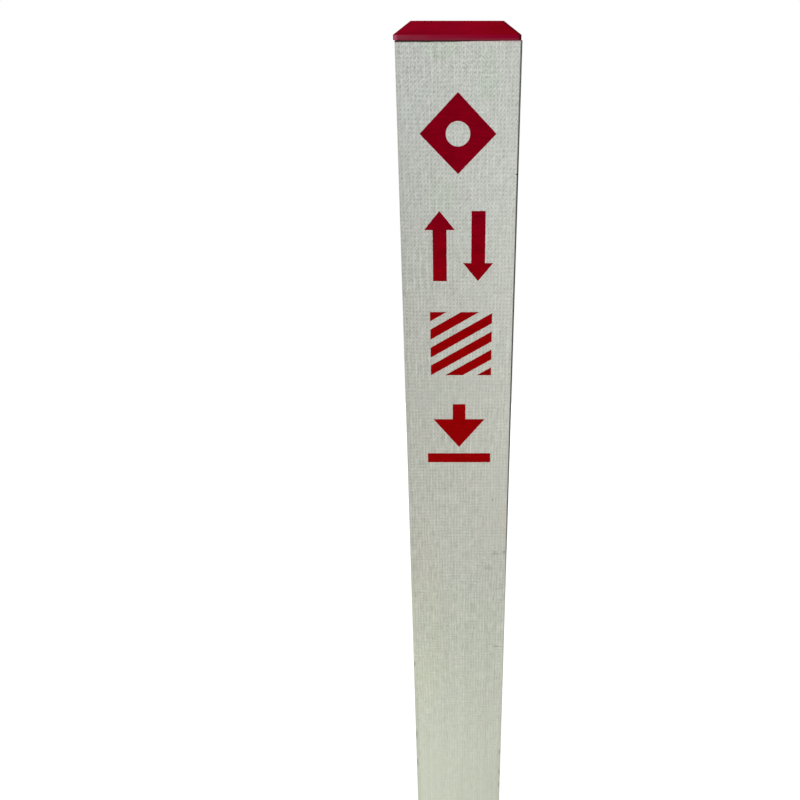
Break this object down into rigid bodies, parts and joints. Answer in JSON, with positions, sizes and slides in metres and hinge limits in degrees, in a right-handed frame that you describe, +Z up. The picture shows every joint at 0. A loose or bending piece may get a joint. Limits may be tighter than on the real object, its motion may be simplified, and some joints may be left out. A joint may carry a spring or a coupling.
{
  "type": "utility marker post",
  "caption": "Hollow square marker post of off-white glass-fibre-reinforced plastic, closed at the top by a red plug-in cap with sloped sides and a flat top.",
  "frame": {"origin": "middle of the tube's lower end, at the height of the surface that it stands on", "axes": "+Z up along the post, -Y out of the front face that carries the painted marks, +X to the right of a viewer in front of it"},
  "size_m": [0.1011, 0.1002, 1.0137],
  "materials": {
    "fibre_plastic": "satin",
    "red_plastic": "satin",
    "red_paint": "satin"
  },
  "bodies": {
    "root": {"post_tube": "fibre_plastic", "post_cap": "red_plastic"}
  },
  "joints": []
}
